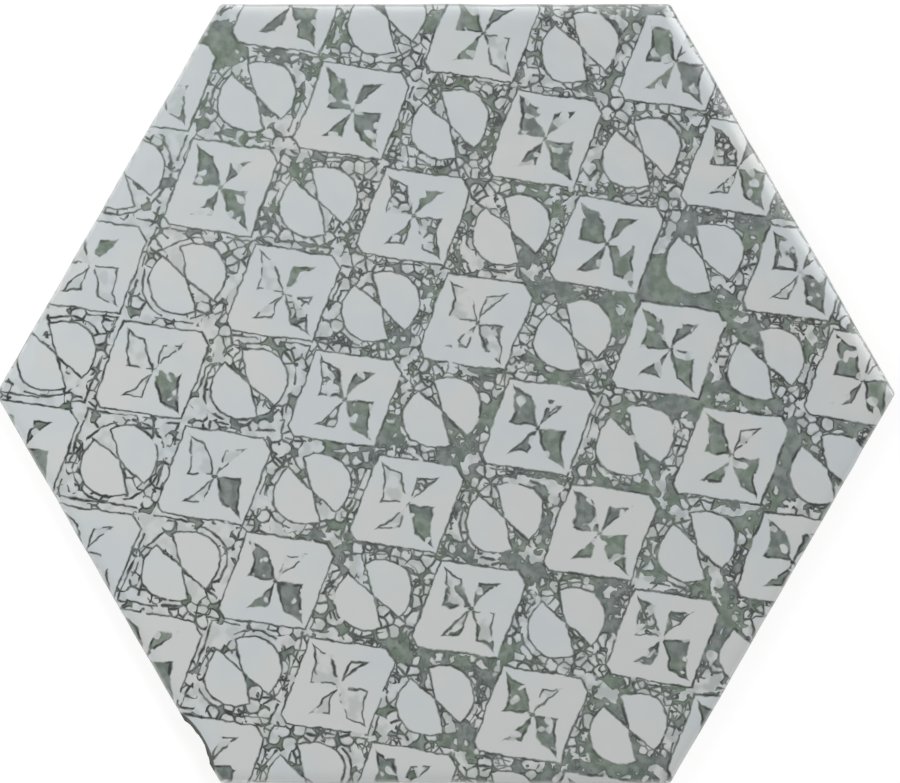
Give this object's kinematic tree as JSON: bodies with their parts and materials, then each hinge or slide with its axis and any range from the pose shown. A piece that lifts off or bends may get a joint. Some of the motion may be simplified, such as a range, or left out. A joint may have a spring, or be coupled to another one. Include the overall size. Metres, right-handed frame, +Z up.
{
  "type": "hexagonal decorative tile",
  "caption": "Hexagonal glazed ceramic tile with a soft cushion edge, a worn printed check of discs and pinwheels, and a honeycomb-keyed back for adhesive.",
  "frame": {"origin": "middle of the back, on the plane of the key ribs that bed on the adhesive", "axes": "+Z up through the glazed face, +X towards one corner, +Y square to one straight side"},
  "size_m": [0.2302, 0.2, 0.009],
  "materials": {
    "glazed_face": "satin glaze, printed"
  },
  "bodies": {
    "root": {"hexagon_tile": "glazed_face"}
  },
  "joints": []
}
